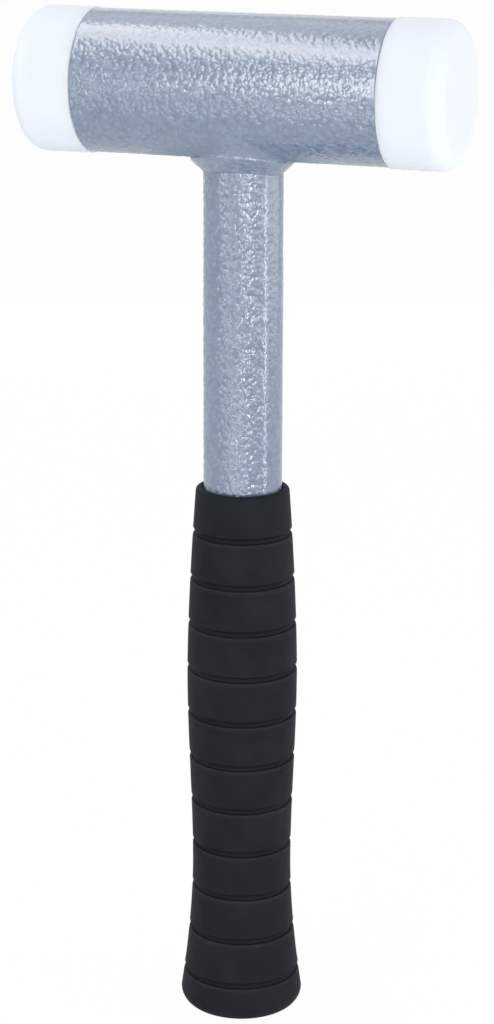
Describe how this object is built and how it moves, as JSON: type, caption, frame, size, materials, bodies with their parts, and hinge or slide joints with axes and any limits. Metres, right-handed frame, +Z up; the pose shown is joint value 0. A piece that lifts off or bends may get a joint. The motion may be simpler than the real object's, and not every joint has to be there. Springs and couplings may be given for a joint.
{
  "type": "dead blow hammer",
  "caption": "Dead blow hammer: shot-filled painted steel tube head with white nylon faces, welded steel tube handle and ring-grooved black rubber grip with a flared end.",
  "frame": {"origin": "centre of the flat foot of the grip, which is the lowest face", "axes": "+Z up the handle towards the head, +X along the head towards the right face, +Y to the back"},
  "size_m": [0.1244, 0.0406, 0.2941],
  "materials": {
    "hammertone_paint": "grey-blue hammertone paint, pebbled and half glossy",
    "white_nylon": "natural white nylon, satin",
    "black_rubber": "moulded black rubber, satin",
    "pressed_steel": "bare pressed steel",
    "shot_steel": "bare steel shot",
    "plug_plastic": "black moulded plastic"
  },
  "bodies": {
    "hammer": {"head_tube": "hammertone_paint", "strike_face_left": "white_nylon", "strike_face_right": "white_nylon", "chamber_plug_left": "pressed_steel", "chamber_plug_right": "pressed_steel", "handle_tube": "hammertone_paint", "weld_collar": "hammertone_paint", "handle_end_plug": "plug_plastic", "grip_sleeve": "black_rubber"},
    "shot_charge": {"shot_ball_01": "shot_steel", "shot_ball_02": "shot_steel", "shot_ball_03": "shot_steel", "shot_ball_04": "shot_steel", "shot_ball_05": "shot_steel", "shot_ball_06": "shot_steel", "shot_ball_07": "shot_steel", "shot_ball_08": "shot_steel", "shot_ball_09": "shot_steel", "shot_ball_10": "shot_steel", "shot_ball_11": "shot_steel", "shot_ball_12": "shot_steel", "shot_ball_13": "shot_steel", "shot_ball_14": "shot_steel", "shot_ball_15": "shot_steel", "shot_ball_16": "shot_steel", "shot_ball_17": "shot_steel", "shot_ball_18": "shot_steel", "shot_ball_19": "shot_steel", "shot_ball_20": "shot_steel", "shot_ball_21": "shot_steel", "shot_ball_22": "shot_steel", "shot_ball_23": "shot_steel", "shot_ball_24": "shot_steel", "shot_ball_25": "shot_steel", "shot_ball_26": "shot_steel", "shot_ball_27": "shot_steel", "shot_ball_28": "shot_steel", "shot_ball_29": "shot_steel", "shot_ball_30": "shot_steel", "shot_ball_31": "shot_steel", "shot_ball_32": "shot_steel", "shot_ball_33": "shot_steel", "shot_ball_34": "shot_steel", "shot_ball_35": "shot_steel"}
  },
  "joints": [
    {"name": "shot_slide", "type": "slide", "parent": "hammer", "child": "shot_charge", "axis": [1, 0, 0], "range_m": [-0.006, 0.006]}
  ]
}
